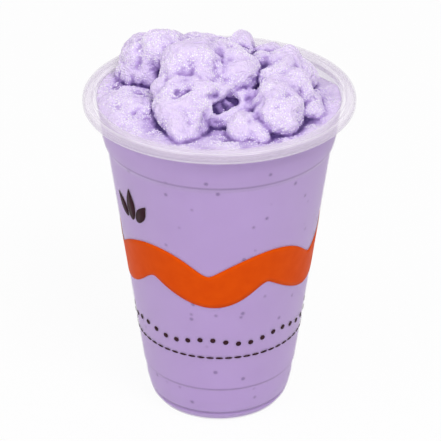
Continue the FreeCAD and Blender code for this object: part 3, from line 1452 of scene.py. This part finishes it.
    def sort_faces(self, piece: Piece) -> None:
        """Gives the faces that lie against the wall and base the second material.

        Args:
            piece: The slush.
        """
        for face in piece.data.polygons:
            middle = face.center
            radius = math.hypot(middle.x, middle.y)
            outward = (face.normal.x * middle.x + face.normal.y * middle.y) / max(radius, SAME_PLACE)
            on_wall = radius > self.wall_reach and outward > self.wall_facing and middle.z < self.brim
            face.material_index = 1 if middle.z < self.cut_height or on_wall else 0


@dataclass(frozen=True)
class CrystalTree:
    """Geometry Nodes that strew small ice crystals where the heap is coarse, and realize them."""

    name: str = "strewn_crystals"
    patch_range: tuple = (0.46, 0.58)
    patch_share: tuple = (0.12, 1.0)
    patch_detail: float = 2.0
    least_upward: float = -0.1
    full_turn: float = 6.283
    turn_seed: int = 3
    size_seed: int = 5

    def build(self, material: Material) -> NodeTree:
        """Builds the tree.

        Args:
            material: The crystals' material.

        Returns:
            The tree.
        """
        made, given, result = geometry_tree(
            self.name,
            {
                "Density": 3600000.0,
                "Smallest": 0.0001,
                "Largest": 0.00026,
                "Patch Size": 0.009,
                "Lowest": 0.111,
                "Highest": 0.1369,
                "Reach": 0.0388,
                "Proud": 0.4,
                "Seed": 7,
            },
        )
        place = made.read("GeometryNodeInputPosition")
        upward = made.axes(made.read("GeometryNodeInputNormal"))["Z"]
        proud = made.read("GeometryNodeInputNamedAttribute", {"Name": RELIEF}, data_type="FLOAT")
        axes = made.axes(place)
        patches = made.noise(place, given["Patch Size"], self.patch_detail)
        share = made.spread(patches, *self.patch_range, *self.patch_share)
        tests = (
            ("GREATER_THAN", axes["Z"], given["Lowest"]),
            ("LESS_THAN", axes["Z"], given["Highest"]),
            ("GREATER_THAN", upward, self.least_upward),
            ("LESS_THAN", made.across(axes), given["Reach"]),
            ("GREATER_THAN", proud, given["Proud"]),
        )
        for test in tests:
            share = made.math("MULTIPLY", share, made.math(*test))
        inputs = {
            "Mesh": given["Geometry"],
            "Density": made.math("MULTIPLY", share, given["Density"]),
            "Seed": given["Seed"],
        }
        turns = {0: (0, 0, 0), 1: (self.full_turn,) * 3, "Seed": self.turn_seed}
        sizes = {0: given["Smallest"], 1: given["Largest"], "Seed": self.size_seed}
        inputs = {
            "Points": made.read("GeometryNodeDistributePointsOnFaces", inputs),
            "Instance": made.read("GeometryNodeMeshIcoSphere", {"Radius": 1.0, "Subdivisions": 1}),
            "Rotation": made.read("FunctionNodeRandomValue", turns, data_type="FLOAT_VECTOR"),
            "Scale": made.read("FunctionNodeRandomValue", sizes, data_type="FLOAT_VECTOR"),
        }
        made.fill(result, {0: made.copies(inputs, material)})
        return made.tree


@dataclass
class Crystals:
    """Loose ice crystals on the heap."""

    heap: Piece
    name: str = "ice_crystals"

    def build(self) -> Piece:
        """Builds and dresses the crystals."""
        material = ClearIce().material()
        base = placed("base", self.heap.data.copy())
        piece = run_tree(base, CrystalTree().build(material), self.name)
        dress(piece, Slot.LUMP, material)
        return piece


@dataclass(frozen=True)
class ReadingTree:
    """Geometry Nodes that store how far each point stands out of its near and wider surroundings."""

    name: str = "relief_reading"

    def in_use(self, sockets: Sequence, name: str) -> Socket:
        """Returns the socket of a name that the node's settings have put to use."""
        return next(socket for socket in sockets if socket.enabled and socket.name == name)

    def reading(
        self, made: Tree, shape: Socket, label: str, passes: object, span: object
    ) -> Socket:
        """Stores one reading, from 0 for a deep cleft to 1 for a sharp ridge.

        Args:
            made: The tree.
            shape: The mesh.
            label: The name it is stored under.
            passes: How often places are blurred, which sets how wide the surroundings are.
            span: The height from cleft to ridge that covers the whole range.

        Returns:
            The mesh with the reading.
        """
        place = made.read("GeometryNodeInputPosition")
        normal = made.read("GeometryNodeInputNormal")
        blur = made.node("GeometryNodeBlurAttribute", {"Iterations": passes}, data_type="FLOAT_VECTOR")
        made.link(place, self.in_use(blur.inputs, "Value"))
        apart = made.vector("SUBTRACT", place, self.in_use(blur.outputs, "Value"))[0]
        along = made.vector("DOT_PRODUCT", apart, normal)["Value"]
        value = made.math("ADD", made.math("DIVIDE", along, span), 0.5, clamp=True)
        inputs = {"Geometry": shape, "Name": label}
        store = made.node("GeometryNodeStoreNamedAttribute", inputs, data_type="FLOAT", domain="POINT")
        made.link(value, self.in_use(store.inputs, "Value"))
        return store.outputs[0]

    def build(self) -> NodeTree:
        """Builds the tree."""
        inputs = {"Near Passes": 14, "Near Span": 0.0008, "Wide Passes": 220, "Wide Span": 0.0032}
        made, given, result = geometry_tree(self.name, inputs)
        shape = given["Geometry"]
        shape = self.reading(made, shape, RELIEF, given["Near Passes"], given["Near Span"])
        shape = self.reading(made, shape, HOLLOW, given["Wide Passes"], given["Wide Span"])
        made.fill(result, {0: shape})
        return made.tree


# ----- Studio -----


@dataclass(frozen=True)
class Lamp:
    """A soft square lamp: where it hangs, the length of its side and its power, in watts."""

    name: str
    place: tuple
    size: float
    power: float


@dataclass
class Studio:
    """A white floor, soft lamps and the camera. Metres and degrees."""

    aim_height: float = 0.0694
    camera_distance: float = 1.0633
    camera_elevation: float = 28.58
    camera_side: float = 0.00041
    sensor: float = 36.0
    lens: float = 244.9
    floor_half_width: float = 3.0
    floor_colour: tuple = (0.86, 0.86, 0.87, 1.0)
    floor_roughness: float = 0.9
    floor_glow: float = 0.94
    glow_colour: tuple = (1.0, 1.0, 1.0, 1.0)
    sky: float = 0.5
    sky_colour: tuple = (1.0, 0.995, 1.0, 1.0)
    lamp_aim: tuple = (0.0, 0.0, 0.1)
    lamps: tuple = (
        Lamp("key", (0.35, -0.75, 1.25), 0.55, 10.0),
        Lamp("fill", (-0.9, -0.7, 0.8), 0.9, 4.0),
    )

    def floor(self) -> None:
        """Lays the floor."""
        half = self.floor_half_width
        corners = [(-half, -half, 0), (half, -half, 0), (half, half, 0), (-half, half, 0)]
        piece = mesh_object("studio_floor", corners, [(0, 1, 2, 3)])
        made, tree, shader = new_material("studio_floor")
        tree.fill(shader, {"Base Color": self.floor_colour, "Roughness": self.floor_roughness})
        glow = tree.read("ShaderNodeEmission", {"Color": self.glow_colour})
        share = tree.math("MULTIPLY", self.seen(tree), self.floor_glow)
        blend = tree.read("ShaderNodeMixShader", {0: share, 1: shader.outputs[0], 2: glow})
        tree.fill(made.node_tree.nodes["Material Output"], {"Surface": blend})
        piece.data.materials.append(made)

    def seen(self, tree: Tree) -> Socket:
        """Returns 1 for rays that show the backdrop: straight, mirrored or through clear plastic."""
        path = tree.node("ShaderNodeLightPath").outputs
        rays = ("Is Camera Ray", "Is Glossy Ray", "Is Transmission Ray")
        return tree.math("MAXIMUM", *(path[ray] for ray in rays))

    def world(self) -> None:
        """Makes the white surroundings."""
        world = bpy.data.worlds.new("studio_world")
        world.use_nodes = True
        tree = Tree(world.node_tree)
        strength = tree.spread(self.seen(tree), 0.0, 1.0, self.sky, 1.0)
        tree.fill(world.node_tree.nodes["Background"], {"Color": self.sky_colour, "Strength": strength})
        bpy.context.scene.world = world

    def light(self, lamp: Lamp) -> None:
        """Hangs a lamp that points at the heap."""
        light = bpy.data.lights.new(lamp.name, "AREA")
        light.size = lamp.size
        light.energy = lamp.power
        made = placed(lamp.name, light)
        made.location = lamp.place
        aim = Vector(self.lamp_aim) - Vector(lamp.place)
        made.rotation_euler = aim.to_track_quat("-Z", "Y").to_euler()

    def camera(self) -> None:
        """Sets the camera."""
        slope = math.radians(self.camera_elevation)
        data = bpy.data.cameras.new("camera")
        data.sensor_width = self.sensor
        data.lens = self.lens
        made = placed("camera", data)
        back = self.camera_distance * math.cos(slope)
        up = self.aim_height + self.camera_distance * math.sin(slope)
        made.location = (self.camera_side, -back, up)
        made.rotation_euler = (math.pi / 2 - slope, 0, 0)
        bpy.context.scene.camera = made

    def build(self) -> None:
        """Builds the whole studio."""
        self.floor()
        self.world()
        for lamp in self.lamps:
            self.light(lamp)
        self.camera()
        bpy.context.scene.view_settings.view_transform = "Standard"


def main() -> None:
    """Builds the studio, the cup, its print and the slush."""
    logging.basicConfig(level=logging.INFO, format="%(message)s")
    Studio().build()
    cup = CupSheet()
    cup.build()
    CupPrint(cup).build()
    heap = Slush(cup).build()
    Crystals(heap).build()


if __name__ == "__main__":
    main()
